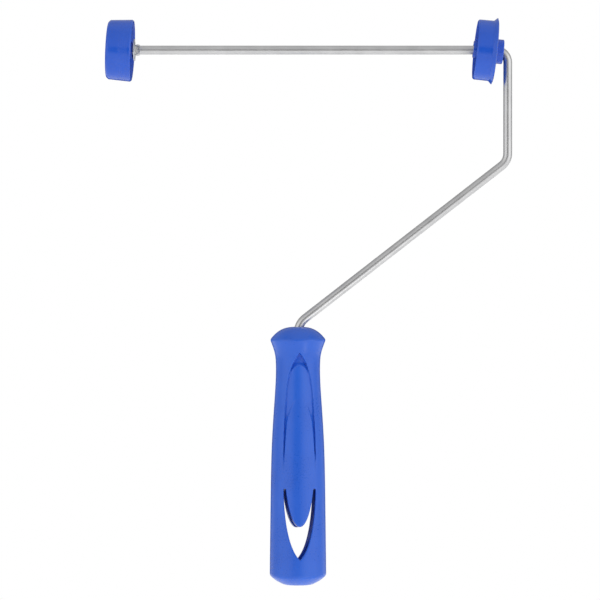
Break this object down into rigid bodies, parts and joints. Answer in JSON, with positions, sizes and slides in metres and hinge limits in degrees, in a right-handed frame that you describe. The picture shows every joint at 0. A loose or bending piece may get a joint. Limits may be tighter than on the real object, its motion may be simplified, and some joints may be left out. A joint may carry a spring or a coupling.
{
  "type": "paint roller frame",
  "caption": "Single-arm paint roller frame: bent steel wire with spinning plastic end caps for a slip-on sleeve and a moulded handle with a V-shaped window.",
  "frame": {"origin": "centre of the pole socket's mouth, in the plane of the butt's lip", "axes": "+Z from the handle's butt up to the rod; the rod and its caps lie along X with the arm at +X; the front of the handle faces -Y"},
  "size_m": [0.2593, 0.0426, 0.3615],
  "materials": {
    "wire_steel": "bright zinc-plated drawn wire",
    "washer_steel": "zinc-plated, dull",
    "spring_steel": "dark spring steel",
    "handle_plastic": "satin moulded polypropylene, royal blue",
    "cap_plastic": "satin moulded polypropylene, royal blue"
  },
  "bodies": {
    "frame": {"wire_frame": "wire_steel", "handle": "handle_plastic", "retaining_ring": "spring_steel"},
    "outer_roller": {"outer_cap": "cap_plastic", "cap_plug": "cap_plastic"},
    "inner_roller": {"inner_cap": "cap_plastic"},
    "hub_washer": {"inner_washer": "washer_steel"},
    "end_washer": {"thrust_washer": "washer_steel"}
  },
  "joints": [
    {"name": "outer_cap_spin", "type": "hinge", "parent": "frame", "child": "outer_roller", "pos_m": [-0.115, 0, 0.341], "axis": [0.9986, 0, -0.0523], "continuous": true},
    {"name": "inner_cap_spin", "type": "hinge", "parent": "frame", "child": "inner_roller", "pos_m": [0.1181, 0, 0.341], "axis": [0.9952, 0, -0.0976], "continuous": true},
    {"name": "inner_washer_spin", "type": "hinge", "parent": "frame", "child": "hub_washer", "pos_m": [-0.1046, 0, 0.341], "axis": [1, 0, 0], "continuous": true},
    {"name": "thrust_washer_spin", "type": "hinge", "parent": "frame", "child": "end_washer", "pos_m": [-0.1172, 0, 0.341], "axis": [1, 0, 0], "continuous": true}
  ]
}
